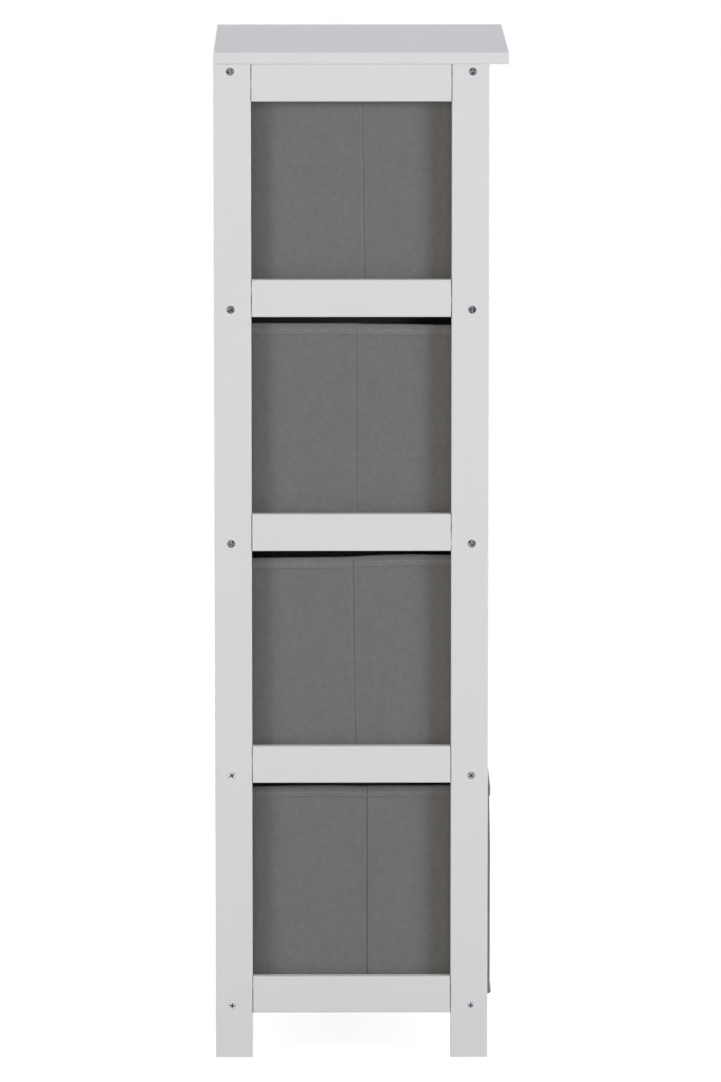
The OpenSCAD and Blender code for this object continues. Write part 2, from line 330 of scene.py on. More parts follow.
dress(board_paint, "top_panel", "front_batten", "back_batten", *(f"shelf_{i}" for i in TIERS))
dress(upright_paint, "back_panel")

# Screws.
# Countersunk wood screws with a cross recess, set flush through the posts and up into the top.
# Its stained zinc has a painted darker reflection up high, and painted shade in recess and rim.

SCREW_SIDES = 24
SCREW_HEAD = 4.0 * MM
SCREW_SHANK = 2.0 * MM
SCREW_RIM = 0.3 * MM
SCREW_TIP = 4.0 * MM
# What each half of the tip narrows it to
TIP_SHARES = (0.6, 0.1)
# The share of a screw's length that has no thread
PLAIN_SHARE = 0.3
THREAD_PITCH = 1.8 * MM
THREAD_DEPTH = 0.45 * MM
# The shares of the pitch that a thread's flanks and its crest take
FLANK_SHARE = 0.3
CREST_SHARE = 0.4
SCREW_RIM_WIDTH = 0.75 * MM
RECESS_SIZE = (5.6 * MM, 1.35 * MM, 2.4 * MM)
# What is left of a recess's length, width and depth at its bottom, and how deep its middle lies
RECESS_TAPER = (0.3, 0.5, 1)
RECESS_MIDDLE = 0.96 * MM
# How each level's recesses are turned, in degrees: the shelves downwards, then the battens
RECESS_TURNS = (41, 36, 48, 2, 44)
# How much further the screws behind, on the right, and each next one under the top are turned
BACK_TURN, RIGHT_TURN, TOP_TURN = 7, -6, 37
SCREW_SMOOTH = math.radians(35)
# Two tones that the stains run between, for each metal on the low screws and on the high ones
ZINC_BRIGHT = ((0.40, 0.41, 0.425), (0.56, 0.57, 0.59))
# On the high screws the zinc's darker reflection is painted
ZINC_PAINTED_DARK = ((0.035, 0.036, 0.04), (0.36, 0.365, 0.38))
# On the high screws the rim is painted dark, as the shade of the gap round the head
RIM_PAINTED_SHADE = ((0.02, 0.02, 0.022), (0.12, 0.123, 0.13))
# The cross recess is painted shade, and on the high screws painted shade with painted glints
RECESS_PAINTED_SHADE = ((0.03, 0.03, 0.032), (0.15, 0.155, 0.165))
RECESS_PAINTED_GLINTS = ((0.05, 0.05, 0.055), (0.62, 0.63, 0.65))
# Heights between which the painted reflection goes from bright to dark, and how they fall towards
# the front
REFLECTION_DARKENS_FROM = 0.25
REFLECTION_DARKENS_TO = 0.45
REFLECTION_DARKENING_SLOPE = 0.5
ZINC_RELIEF = 0.03 * MM


def edit(piece, kind="FACE", chosen=lambda part: True):
    """Enters edit mode on the piece with only the chosen vertices, edges or faces selected."""
    bpy.ops.object.select_all(action="DESELECT")
    piece.select_set(True)
    bpy.context.view_layer.objects.active = piece
    mesh = piece.data
    lists = {"VERT": mesh.vertices, "EDGE": mesh.edges, "FACE": mesh.polygons}
    for parts in lists.values():
        parts.foreach_set("select", [False] * len(parts))
    for part in lists[kind]:
        part.select = bool(chosen(part))
    bpy.context.tool_settings.mesh_select_mode = [name == kind for name in lists]
    bpy.ops.object.mode_set(mode="EDIT")


def leave():
    bpy.ops.object.mode_set(mode="OBJECT")


def faces_up(face):
    return face.normal.z > 0.9


def faces_down(face):
    return face.normal.z < -0.9


def block(size, middle=(0, 0, 0)):
    """A plain block with its size and place in its mesh."""
    bpy.ops.mesh.primitive_cube_add(size=1, location=middle)
    made = bpy.context.object
    made.scale = size
    bpy.ops.object.transform_apply(location=True, rotation=False, scale=True)
    return made


def modify(piece, kind, **settings):
    """Adds a modifier with these settings and applies it."""
    bpy.context.view_layer.objects.active = piece
    modifier = piece.modifiers.new(kind.lower(), kind)
    for name, value in settings.items():
        setattr(modifier, name, value)
    bpy.ops.object.modifier_apply(modifier=modifier.name)


def join(pieces, name):
    """Makes one object of the pieces."""
    bpy.ops.object.select_all(action="DESELECT")
    for piece in pieces:
        piece.select_set(True)
    bpy.context.view_layer.objects.active = pieces[0]
    bpy.ops.object.join()
    pieces[0].name = name
    return pieces[0]


def grow(rings):
    """Extrudes the selected face along Z, each time by a length and to a share of its width."""
    for length, share in rings:
        bpy.ops.mesh.extrude_region_move(TRANSFORM_OT_translate={"value": (0, 0, length)})
        if share != 1:
            bpy.ops.transform.resize(value=(share, share, 1))


def make_blade(turn):
    """One arm of the punch that makes the cross recess, narrower towards its tip."""
    blade = block(RECESS_SIZE)
    blade.rotation_euler.z = turn
    for metal in METALS:
        blade.data.materials.append(metal)
    # The recess's faces take its painted shade and, on the high screws, painted glints
    for face in blade.data.polygons:
        face.material_index = METALS.index(punched)
    edit(blade, "FACE", faces_up)
    bpy.ops.transform.resize(value=RECESS_TAPER)
    leave()
    blade.location.z = RECESS_MIDDLE
    return blade


def make_screw(length):
    """A screw that points up, with the face of its head at the origin."""
    bpy.ops.mesh.primitive_cylinder_add(
        vertices=SCREW_SIDES, radius=SCREW_HEAD, depth=SCREW_RIM, location=(0, 0, SCREW_RIM / 2)
    )
    screw = bpy.context.object
    bpy.ops.object.transform_apply(location=True, rotation=False, scale=False)
    for metal in METALS:
        screw.data.materials.append(metal)
    edit(screw, "FACE", faces_down)
    bpy.ops.mesh.inset(thickness=SCREW_RIM_WIDTH)
    leave()
    # The four-sided faces are the ring round the inset, which takes the rim's painted shade
    for face in screw.data.polygons:
        if faces_down(face) and len(face.vertices) == 4:
            face.material_index = METALS.index(rim_zinc)
    edit(screw, "FACE", faces_up)
    core = SCREW_SHANK - THREAD_DEPTH
    taper = SCREW_HEAD - SCREW_SHANK
    plain = PLAIN_SHARE * length
    threads = int(((1 - PLAIN_SHARE) * length - SCREW_TIP - SCREW_HEAD) / THREAD_PITCH)
    grow([(taper, SCREW_SHANK / SCREW_HEAD), (plain, 1)])
    for _ in range(threads):
        grow([
            (FLANK_SHARE * THREAD_PITCH, core / SCREW_SHANK),
            (CREST_SHARE * THREAD_PITCH, 1),
            (FLANK_SHARE * THREAD_PITCH, SCREW_SHANK / core),
        ])
    half_tip = (length - (SCREW_RIM + taper + plain + threads * THREAD_PITCH)) / 2
    grow([(half_tip, share) for share in TIP_SHARES])
    leave()
    for turn in (0, math.pi / 2):
        blade = make_blade(turn)
        modify(screw, "BOOLEAN", operation="DIFFERENCE", solver="EXACT", object=blade)
        bpy.data.objects.remove(blade)
    # The shading acts on what is selected, which was the blade
    screw.select_set(True)
    bpy.ops.object.shade_smooth_by_angle(angle=SCREW_SMOOTH)
    return screw


def set_in(pattern, name, places, node):
    """Lays a copy of the screw at each place, in one piece that stands for the CAD node."""
    copies = []
    for place in places:
        copy = bpy.data.objects.new(name, pattern.data.copy())
        bpy.context.collection.objects.link(copy)
        copy.data.transform(place)
        copies.append(copy)
    piece = join(copies, name)
    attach(piece, "frame")
    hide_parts(node)


def turned(degrees):
    return Matrix.Rotation(math.radians(degrees), 4, "Z")


def plated_with_painted_reflection(name, bright, painted_high_tones):
    """Stained zinc plating, its reflection painted bright on the low screws and darker higher up
    and towards the front.
    """
    material, shader, places = new_material(name, Metallic=1.0)
    place = places["Object"]
    stain = place.noise(scale=420, detail=3, roughness=0.6)
    # The darker reflection is painted by height, which drops towards the front
    height = place.axis(2) - REFLECTION_DARKENING_SLOPE * place.axis(1)
    painted_darkening = (height - REFLECTION_DARKENS_FROM) * (1 / (REFLECTION_DARKENS_TO - REFLECTION_DARKENS_FROM))
    spots = 3.5 * stain - 1.35
    connect(
        shader,
        Base_Color=painted_darkening.blend(spots.blend(*bright), spots.blend(*painted_high_tones)),
        Roughness=0.24 + 0.2 * stain,
        Normal=place.noise(scale=2500).relief(ZINC_RELIEF),
    )
    return material


zinc = plated_with_painted_reflection("zinc_plate_painted_reflection", ZINC_BRIGHT, ZINC_PAINTED_DARK)
rim_zinc = plated_with_painted_reflection("zinc_rim_painted_shade", ZINC_BRIGHT, RIM_PAINTED_SHADE)
punched = plated_with_painted_reflection("punched_recess_painted_shade", RECESS_PAINTED_SHADE, RECESS_PAINTED_GLINTS)
METALS = (zinc, rim_zinc, punched)

left_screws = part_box("left_frame_screws")
frame_screw = make_screw(left_screws[1].x - left_screws[0].x)
screw_ys = (left_screws[0].y + SCREW_HEAD, left_screws[1].y - SCREW_HEAD)
board_levels = [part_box(f"shelf_{i}") for i in TIERS] + [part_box("front_batten")]
screw_zs = [(low.z + high.z) / 2 for low, high in board_levels]
for side, sign in (("left", -1), ("right", 1)):
    places = [
        Matrix.Translation((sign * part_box("right_frame_screws")[1].x, y, z))
        @ Matrix.Rotation(-sign * math.pi / 2, 4, "Y")
        @ turned(RECESS_TURNS[k] + BACK_TURN * j + RIGHT_TURN * (side == "right"))
        for k, z in enumerate(screw_zs)
        for j, y in enumerate(screw_ys)
    ]
    set_in(frame_screw, f"{side}_wood_screws", places, f"{side}_frame_screws")
low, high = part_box("top_screws")
top_screw = make_screw(high.z - low.z)
places = [
    Matrix.Translation((x, y, low.z)) @ turned(TOP_TURN * k)
    for k, (x, y) in enumerate(
        (x, y)
        for x in (low.x + SCREW_HEAD, high.x - SCREW_HEAD)
        for y in (low.y + SCREW_HEAD, high.y - SCREW_HEAD)
    )
]
set_in(top_screw, "top_wood_screws", places, "top_screws")
for pattern in (frame_screw, top_screw):
    bpy.data.objects.remove(pattern)

# Back panel nails.
# Short wire nails with flat heads, driven through the hardboard into each board's back edge.

# The nails take the zinc, with its reflection painted darker higher up
dress(zinc, "back_panel_nails")

# Drawer stiffeners.
# Flat pressed boards slipped between cover and lining keep each wall straight.
# A gap down the middle of each side lets the empty drawer fold. The boards are brown and fibrous.

FIBRE_PALE = (0.50, 0.37, 0.23)
FIBRE_DARK = (0.36, 0.25, 0.14)
FIBRE_RELIEF = 0.15 * MM

fibre_board, fibre_shader, fibre_places = new_material("pressed_board", Specular_IOR_Level=0.2)
fibres = fibre_places["Object"].noise(scale=650, detail=5, roughness=0.7)
connect(
    fibre_shader,
    Base_Color=fibres.blend(FIBRE_DARK, FIBRE_PALE),
    Roughness=0.75 + 0.2 * fibres,
    Normal=fibres.relief(FIBRE_RELIEF),
)
dress(fibre_board, *(f"drawer_{i}_stiffeners" for i in TIERS))

# Drawer covers.
# Each is sewn of matt grey cloth, with a seam round its foot and a stitched fold down each side.
# The walls belly a little between fold and corners, and no two rims run quite level.

SEAM_LIP = 1.2 * MM
SEAM_HEIGHT = 5.4 * MM
COVER_THICK = 1.0 * MM
CORNER, CORNER_SEGMENTS = 4.0 * MM, 4
FOOT, FOOT_SEGMENTS = 1.0 * MM, 2
CLOTH_SMOOTH = math.radians(50)

# Steps between the cuts across the front, down the side and up the walls, and what is left uncut
# beside the corners; then the closer cuts beside the fold, above the foot and about the hem's edge
FRONT_STEP, SIDE_STEP, WALL_STEP = 15 * MM, 12 * MM, 11 * MM
CORNER_MARGIN = 6 * MM
FOLD_CUTS = [0.5 * MM, 1.1 * MM, 1.7 * MM, 2.3 * MM, 3.0 * MM, 4.5 * MM, 8.0 * MM]
FOOT_CUTS = [0.8 * MM, 1.6 * MM, 2.4 * MM, 3.2 * MM, 4.2 * MM, 5.4 * MM, 7.5 * MM]
EDGE_CUTS = [-2 * MM, -1.2 * MM, -0.6 * MM, 0]

cover_low, cover_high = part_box("drawer_1_cover")
hem_low, hem_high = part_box("drawer_1_hem")
WIDTH = cover_high.x - cover_low.x - 2 * SEAM_LIP
DEPTH = cover_high.y - cover_low.y - 2 * SEAM_LIP
WALL_HEIGHT = cover_high.z - cover_low.z
HEIGHT = hem_high.z - cover_low.z
HEM_HEIGHT = hem_high.z - hem_low.z
HEM_EDGE = HEIGHT - HEM_HEIGHT

# What lies this near to a wall's face moves with the wall, and this near it moves as outer cloth
WALL_BAND = 8 * MM
FACE_BAND = 2.5 * MM
# How far the sides and the front belly outwards, from which height and over how much of it. The
# lining bellies inwards by a share of that
BELLY = 1.0 * MM
FRONT_BELLY = 0.3 * MM
BELLY_START = 8 * MM
BELLY_HEIGHT = HEM_EDGE - 9 * MM
LINING_SHARE = 0.6
# Powers that fill out the bellies' waves along a side and up a wall, and that of the foot's seam,
# where 1 is a plain sine
SIDE_FULLNESS, UPRIGHT_FULLNESS, SEAM_FULLNESS = 0.8, 0.6, 0.8
# Ripples in the cloth, how far they run along, through and up a wall for each radian of their sine,
# and by how many radians each next drawer's are shifted along and up
RIPPLE = 0.22 * MM
RIPPLE_RUNS = (21 * MM, 30 * MM, 26 * MM)
RIPPLE_SHIFTS = (1.7, 0.9)
# The fold's groove in each drawer, and the ridge behind it
GROOVE = {1: 0.4 * MM, 2: 0.45 * MM, 3: 0.55 * MM, 4: 1.0 * MM}
GROOVE_REACH = 0.65 * MM
RIDGE_SHARE = 0.6
RIDGE_PLACE = 2.3 * MM
RIDGE_REACH = 0.9 * MM
# How far the fold leans to one side and the other over the drawer's height
SEAM_LEAN = {1: 1.25 * MM, 2: 0.2 * MM, 3: 1.35 * MM, 4: 0.0}
SEAM_LEAN_REACH = 30 * MM
# The rims' own moves start at this share of the height. Front and back rims bow inwards
LOOSE_FROM = 0.45
RIM_BOW = 0.8 * MM
# The front leans back under its rim, over this much of the height and of the depth behind it
FRONT_LEAN = {1: 0.0, 2: 0.0, 3: 0.0, 4: 0.9 * MM}
LEAN_HEIGHT = 65 * MM
LEAN_DEPTH = 60 * MM
# How far each rim lies above its drawn height, at places from the front to the back, in mm
RIM_SHAPE = {
    1: ((-127, -0.8), (-40, -0.2), (0, -0.5), (60, 0.0), (127, 0.0)),
    2: ((-127, -1.6), (-88, -1.2), (-50, -0.3), (-8, 0.1), (4, 0.6), (60, 0.7), (127, 1.0)),
    3: (
        (-127, 2.2), (-85, 2.3), (-60, 2.9), (-35, 2.4),
        (-10, 1.2), (12, 0.0), (50, -0.3), (127, -1.0),
    ),
    4: (
        (-127, 2.9), (-78, 3.4), (-57, 2.9), (-3, 2.7),
        (8, 2.3), (22, 2.9), (50, 2.9), (127, 2.0),
    ),
}
# Places, in mm, over which a rim's height is averaged, so that it bends softly
RIM_BLUR = (-3, -1, 1, 3)
# Points this close to a height or a line count as lying on it
HAIR = 0.1 * MM

CLOTH_LOW = (0.164, 0.161, 0.159)
CLOTH_HIGH = (0.202, 0.199, 0.197)
# The colour that painted shade darkens the cloth towards
TUCK_SHADE = (0.055, 0.052, 0.052)
WEAVE_PITCH = 0.6 * MM
WEAVE_RELIEF = 0.07
SLUB_STRETCH = 0.06
# Painted shade in the fold, and painted highlights on the ridges behind and in front of it: place
# and reach in mm, and how dark each is; then the heights between which they set in, and how near to
# a side's face they lie
FOLD_PAINTED_SHADES = ((0, 0.6, 0.45), (2.2, 0.85, -0.65), (-2.2, 0.85, -0.35))
FOLD_SHADE_START = (4 * MM, 7 * MM)
FOLD_SHADE_BAND = 3 * MM
# Painted shade under the hem and over the foot's seam, how far they reach, and the lowest band
# painted lighter
HEM_PAINTED_SHADE, HEM_SHADE_REACH = 0.35, 1.3 * MM
FOOT_PAINTED_SHADE, FOOT_SHADE_REACH = 0.6, 0.9 * MM
FOOT_PAINTED_LIGHT, FOOT_LIGHT_BAND = -0.35, (8 * MM, 30 * MM)


def drawer_foot(i):
    """The middle of a drawer's underside."""
    low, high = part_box(f"drawer_{i}_cover")
    return (low.x + high.x) / 2, (low.y + high.y) / 2, low.z


def ease(value, low, high):
    """Rises smoothly from 0 at low to 1 at high."""
    share = np.clip((value - low) / (high - low), 0, 1)
    return share * share * (3 - 2 * share)


def bump(value, place, reach):
    """1 at the place, falling off smoothly on both sides over about the reach."""
    return np.exp(-((value - place) / reach) ** 2)


def settle(points, i):
    """Moves points of a drawer's cloth, given about its foot, to where the used cloth lies."""
    x, y, z = points.T.copy()
    half_w, half_d = WIDTH / 2, DEPTH / 2
    side_wall = np.abs(x) > half_w - WALL_BAND
    end_wall = (np.abs(y) > half_d - WALL_BAND) & ~side_wall
    outside = np.where(side_wall, np.abs(x) > half_w - FACE_BAND, np.abs(y) > half_d - FACE_BAND)
    along = np.where(
        side_wall,
        np.abs(np.sin(math.pi * np.clip(y / half_d, -1, 1))) ** SIDE_FULLNESS,
        np.cos(math.pi / 2 * np.clip(x / half_w, -1, 1)),
    )
    upright = np.sin(math.pi * np.clip((z - BELLY_START) / BELLY_HEIGHT, 0, 1)) ** UPRIGHT_FULLNESS
    run_y, run_x, run_z = RIPPLE_RUNS
    shift, rise = (i * step for step in RIPPLE_SHIFTS)
    ripple = np.sin(y / run_y + x / run_x + shift) * np.sin(z / run_z + rise)
    belly = np.where(side_wall, BELLY, FRONT_BELLY)
    push = (belly + RIPPLE * ripple) * along * upright * np.where(outside, 1, -LINING_SHARE)
    # The fold's groove and ridge
    groove = RIDGE_SHARE * bump(y, RIDGE_PLACE, RIDGE_REACH) - bump(y, 0, GROOVE_REACH)
    groove *= GROOVE[i] * ease(z, SEAM_HEIGHT, 2 * SEAM_HEIGHT)
    push += np.where(outside & side_wall, groove, 0)
    x += np.where(side_wall, np.sign(x) * push, 0)
    # How the rim bows, leans and lifts, and how the fold leans
    loose = ease(z, LOOSE_FROM * HEIGHT, HEM_EDGE)
    bow = RIM_BOW * along * loose
    lean = FRONT_LEAN[i] * ease(-y, half_d - LEAN_DEPTH, half_d - WALL_BAND)
    lean *= np.where(end_wall, 1 - along, 1)
    moved_y = y + np.where(end_wall, np.sign(y) * (push - bow), 0)
    moved_y += lean * ease(z, HEIGHT - LEAN_HEIGHT, HEM_EDGE)
    moved_y += SEAM_LEAN[i] * (2 * z / HEIGHT - 1) * bump(y, 0, SEAM_LEAN_REACH)
    rim_y, rim_z = np.array(RIM_SHAPE[i]).T * MM
    lift = sum(np.interp(y + step * MM, rim_y, rim_z) for step in RIM_BLUR) / len(RIM_BLUR)
    return np.stack([x, moved_y, z + lift * loose], 1)


def points_of(piece):
    flat = np.empty(3 * len(piece.data.vertices))
    piece.data.vertices.foreach_get("co", flat)
    return flat.reshape(-1, 3)


def move_points(piece, points):
    piece.data.vertices.foreach_set("co", points.ravel())
    piece.data.update()


def spaced(low, high, step):
    """Places from low to high, both left out, about a step apart."""
    count = round((high - low) / step)
    return [low + (high - low) * k / count for k in range(1, count)]


def cut_across(axis, places):
    """Cuts the piece in edit mode straight across an axis at each of the places."""
    normal = [float(k == axis) for k in range(3)]
    for place in places:
        bpy.ops.mesh.select_all(action="SELECT")
        bpy.ops.mesh.bisect(plane_co=[place * part for part in normal], plane_no=normal)


def cut_both_sides(axis, places):
    """Cuts across an axis at the places, at the same ones on the other side, and in the middle."""
    cut_across(axis, [-place for place in places] + list(places) + [0])


def cut_upright():
    """Cuts the walls in edit mode from top to bottom, closely beside the side folds."""
    cut_both_sides(0, spaced(0, WIDTH / 2 - CORNER_MARGIN, FRONT_STEP))
    cut_both_sides(1, FOLD_CUTS + spaced(FOLD_CUTS[-1], DEPTH / 2 - CORNER_MARGIN, SIDE_STEP))


def lay_weave():
    """Gives the piece in edit mode its flat map, by which the weave is drawn, and leaves it."""
    bpy.ops.mesh.select_all(action="SELECT")
    bpy.ops.uv.cube_project(cube_size=1, correct_aspect=False)
    leave()


def upright_edges(piece):
    """A test for the edges of the piece that stand upright."""
    ends = piece.data.vertices
    return lambda edge: abs(ends[edge.vertices[0]].co.z - ends[edge.vertices[1]].co.z) > MM


def open_box(width, depth, low, high):
    """A box without a lid about the drawer's middle, its upright corners and its foot rounded."""
    box = block((width, depth, high - low), (0, 0, (low + high) / 2))
    edit(box, "EDGE", upright_edges(box))
    bpy.ops.mesh.bevel(offset=CORNER, segments=CORNER_SEGMENTS, affect="EDGES")
    leave()
    edit(box, "FACE", faces_up)
    bpy.ops.mesh.delete(type="FACE")
    leave()
    ends = box.data.vertices
    edit(box, "EDGE", lambda edge: all(ends[k].co.z < low + HAIR for k in edge.vertices))
    bpy.ops.mesh.bevel(offset=FOOT, segments=FOOT_SEGMENTS, affect="EDGES")
    leave()
    return box


def cut_walls(box, low, foot_cuts):
    """Cuts the box closely where the cloth folds and evenly elsewhere, and lays the weave on it."""
    edit(box)
    cut_upright()
    top = HEM_EDGE + EDGE_CUTS[0]
    cut_across(2, [low + cut for cut in foot_cuts] + spaced(low + foot_cuts[-1], top, WALL_STEP))
    cut_across(2, [HEM_EDGE + cut for cut in EDGE_CUTS])
    lay_weave()


def painted_shading(piece, *marks):
    """Notes on the mesh how much painted shade each point takes, or below 0 how much painted
    highlight.
    """
    deep = np.clip(sum(marks), -1, 1)
    note = piece.data.attributes.new("painted_shading", "FLOAT", "POINT")
    note.data.foreach_set("value", deep.astype(np.float32))


def fold_painted_shading(places):
    """How much painted shade points take in the stitched fold down each side, or painted highlight
    on its ridges.
    """
    on_side = np.abs(places[:, 0]) > WIDTH / 2 - FOLD_SHADE_BAND
    marks = sum(dark * bump(places[:, 1], at * MM, reach * MM) for at, reach, dark in FOLD_PAINTED_SHADES)
    return on_side * marks * ease(places[:, 2], *FOLD_SHADE_START)


def cloth(name, low, high, pitch, weave_depth):
    """Matt cloth with a plain weave, slubs in its threads, soft creases, and painted shading from
    its mesh's note.
    """
    material, shader, places = new_material(
        name, Sheen_Weight=0.3, Sheen_Roughness=0.5, Specular_IOR_Level=0.2
    )
    place, on_cloth = places["Object"], places["UV"]
    across, down = (on_cloth.axis(k) * (2 * math.pi / pitch) for k in (0, 1))
    weave = across.sine() * down.sine()
    warp, weft = (
        on_cloth.noise(scale=1500, roughness=0.6, stretch=stretch)
        for stretch in ((1, SLUB_STRETCH, 1), (SLUB_STRETCH, 1, 1))
    )
    slub = warp + weft
    crease = place.noise(scale=16, detail=4, roughness=0.55, stretch=(1, 1, 0.6))
    cloud = place.noise(scale=40, detail=3)
    fuzz = place.noise(scale=170, detail=3, roughness=0.75)
    painted_shading_value = cloud.node("ShaderNodeAttribute", {"attribute_name": "painted_shading"}, None, 2)
    # Ridges, the lowest band and the hem's lower edge, where the note is below 0, are painted
    # lighter
    tone = 0.4 * cloud + 2.0 * fuzz + 0.2 * slub + 0.05 * weave - 0.9 + 0.6 * (0 - painted_shading_value).above(0)
    # Where the note is above 0, painted shade darkens the cloth towards TUCK_SHADE
    connect(
        shader,
        Base_Color=(0.75 * painted_shading_value).blend(tone.blend(low, high), TUCK_SHADE),
        Roughness=0.8 + 0.15 * cloud,
        Normal=(weave_depth * weave + 0.1 * slub + 1.8 * crease).relief(MM),
    )
    return material


def sew(pattern, name, material, replaced=None, thickness=0):
    """Lays a copy of the pattern, settled and then thickened inwards, in each of the drawers."""
    for i in TIERS:
        piece = bpy.data.objects.new(f"drawer_{i}_{name}", pattern.data.copy())
        bpy.context.collection.objects.link(piece)
        bpy.ops.object.select_all(action="DESELECT")
        piece.select_set(True)
        move_points(piece, settle(points_of(piece), i) + drawer_foot(i))
        if thickness:
            modify(piece, "SOLIDIFY", thickness=thickness, offset=-1, use_even_offset=True)
        bpy.context.view_layer.objects.active = piece
        bpy.ops.object.shade_smooth_by_angle(angle=CLOTH_SMOOTH)
        piece.data.materials.clear()
        piece.data.materials.append(material)
        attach(piece, f"drawer_{i}")
        if replaced:
            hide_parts(f"drawer_{i}_{replaced}")
    bpy.data.objects.remove(pattern)


grey_cloth = cloth("grey_cloth", CLOTH_LOW, CLOTH_HIGH, WEAVE_PITCH, WEAVE_RELIEF)
cover = open_box(WIDTH, DEPTH, 0, WALL_HEIGHT)
cut_walls(cover, 0, FOOT_CUTS)
places = points_of(cover)
# The seam round the foot rolls outwards
flat_reach = np.array((WIDTH / 2 - CORNER, DEPTH / 2 - CORNER))
outwards = places[:, :2] - np.clip(places[:, :2], -flat_reach, flat_reach)
reach = np.linalg.norm(outwards, axis=1, keepdims=True)
roll = SEAM_LIP * np.sin(math.pi * np.clip(places[:, 2:] / SEAM_HEIGHT, 0, 1)) ** SEAM_FULLNESS
places[:, :2] += np.where(reach > HAIR, outwards / np.maximum(reach, HAIR) * roll, 0)
move_points(cover, places)
heights = places[:, 2]
# Painted shade in the fold, under the hem and over the foot's seam; painted light on the ridges and
# the lowest band
painted_shading(
    cover,
    fold_painted_shading(places),
    HEM_PAINTED_SHADE * ease(heights, HEM_EDGE - HEM_SHADE_REACH, HEM_EDGE),
    FOOT_PAINTED_SHADE * bump(heights, SEAM_HEIGHT, FOOT_SHADE_REACH),
    FOOT_PAINTED_LIGHT * (1 - ease(heights, *FOOT_LIGHT_BAND)),
)
sew(cover, "outer_cloth", grey_cloth, "cover", COVER_THICK)

# Drawer linings.
# The inside is a thin dark non-woven cloth, sewn to the cover along the rim.
# Rows of small pressed dots hold its fibres together.

LINING_INSET = 3.2 * MM
LINING_THICK = 0.8 * MM
LINING_CUTS = [2 * MM, 6 * MM]
LINING_LOW = (0.152, 0.132, 0.119)
LINING_HIGH = (0.190, 0.166, 0.150)
DOT_PITCH = 1.6 * MM
DOT_SHARE = 0.25


def non_woven(name, low, high):
    """Matt cloth of tangled fibres, pressed together at rows of dots."""
    material, shader, places = new_material(
        name, Sheen_Weight=0.2, Sheen_Roughness=0.5, Specular_IOR_Level=0.25
    )
    across, down = (places["UV"].axis(k) * (2 * math.pi / DOT_PITCH) for k in (0, 1))
    dots = ((across.sine() + down.sine()) * 0.5).above(DOT_SHARE)
    fibres = places["UV"].noise(scale=900, detail=5, roughness=0.7)
    crease = places["Object"].noise(scale=13, detail=4, roughness=0.55)
    connect(
        shader,
        Base_Color=(0.7 * fibres + 0.3 * crease).blend(low, high),
        Roughness=0.72 + 0.2 * fibres,
        Normal=(0.12 * fibres - 0.12 * dots + 1.2 * crease).relief(MM),
    )
    return material


lining_cloth = non_woven("lining_cloth", LINING_LOW, LINING_HIGH)
lining_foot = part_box("drawer_1_lining")[0].z - cover_low.z
lining = open_box(WIDTH - 2 * LINING_INSET, DEPTH - 2 * LINING_INSET, lining_foot, WALL_HEIGHT)
cut_walls(lining, lining_foot, LINING_CUTS)
sew(lining, "inner_cloth", lining_cloth, "lining", LINING_THICK)

# Drawer base boards.
# A loose board in a bag of the lining cloth keeps the floor flat and holds the folding sides open.
# Its edges are rounded by the cloth, and a row of stitches runs round it.

BASE_CORNER = 2 * MM
BASE_EDGE = 1.2 * MM
BASE_CROWN = 0.3 * MM
# The higher this power, the flatter the board's middle
BASE_FLATNESS = 6
BASE_MARGIN = 8 * MM
BASE_STEP = 14 * MM

base_low, base_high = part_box("drawer_1_base_board")
base_top = base_high.z - cover_low.z
base = block(base_high - base_low, (0, 0, (base_low.z + base_high.z) / 2 - cover_low.z))
edit(base, "EDGE", upright_edges(base))
bpy.ops.mesh.bevel(offset=BASE_CORNER, segments=3, affect="EDGES")
leave()
is_upright = upright_edges(base)
edit(base, "EDGE", lambda edge: not is_upright(edge))
bpy.ops.mesh.bevel(offset=BASE_EDGE, segments=3, affect="EDGES")
cut_both_sides(0, spaced(0, WIDTH / 2 - BASE_MARGIN, BASE_STEP))
cut_both_sides(1, spaced(0, DEPTH / 2 - BASE_MARGIN, BASE_STEP))
lay_weave()
places = points_of(base)
across, along = 2 * places[:, 0] / WIDTH, 2 * places[:, 1] / DEPTH
inner = (1 - across**BASE_FLATNESS) * (1 - along**BASE_FLATNESS)
places[:, 2] -= np.where(places[:, 2] > base_top - HAIR, BASE_CROWN * (1 - inner), 0)
move_points(base, places)
sew(base, "base_insert", lining_cloth, "base_board")

# Drawer hems.
# A strip of the grey cloth is folded over the rim and sewn through, which closes each wall's bag.
# It puffs a little above and below the row of stitches, and its cloth is a lighter tone than the
# cover's.

HEM_THICK = 0.8 * MM
# The strip's middle, in mm: distance outside the cover's face and height above the hem's lower edge
HEM_OUTSIDE = (
    (0.5, 0), (0.58, 1.2), (0.54, 2.8), (0.5, 4.0),
    (0.56, 5.2), (0.68, 6.8), (0.62, 8.5),
)
# The same from there over the rim, with the height counted from the hem's top
HEM_RIM = (
    (0.3, -1.1), (-0.4, -0.5), (-1.4, -0.4), (-2.0, -0.4),
    (-2.6, -0.4), (-3.6, -0.5), (-4.3, -1.1),
)
# And down the inside, again from the hem's lower edge
HEM_INSIDE = ((-4.5, 8.5), (-4.55, 6.8), (-4.5, 4.0), (-4.5, 0))
HEM_CLOTH_LOW = (0.176, 0.173, 0.172)
HEM_CLOTH_HIGH = (0.208, 0.205, 0.204)
# The strip's cut edge is painted lighter, a painted highlight where it catches the light
EDGE_PAINTED_HIGHLIGHT, EDGE_HIGHLIGHT_HEIGHT = -0.8, 1.3 * MM

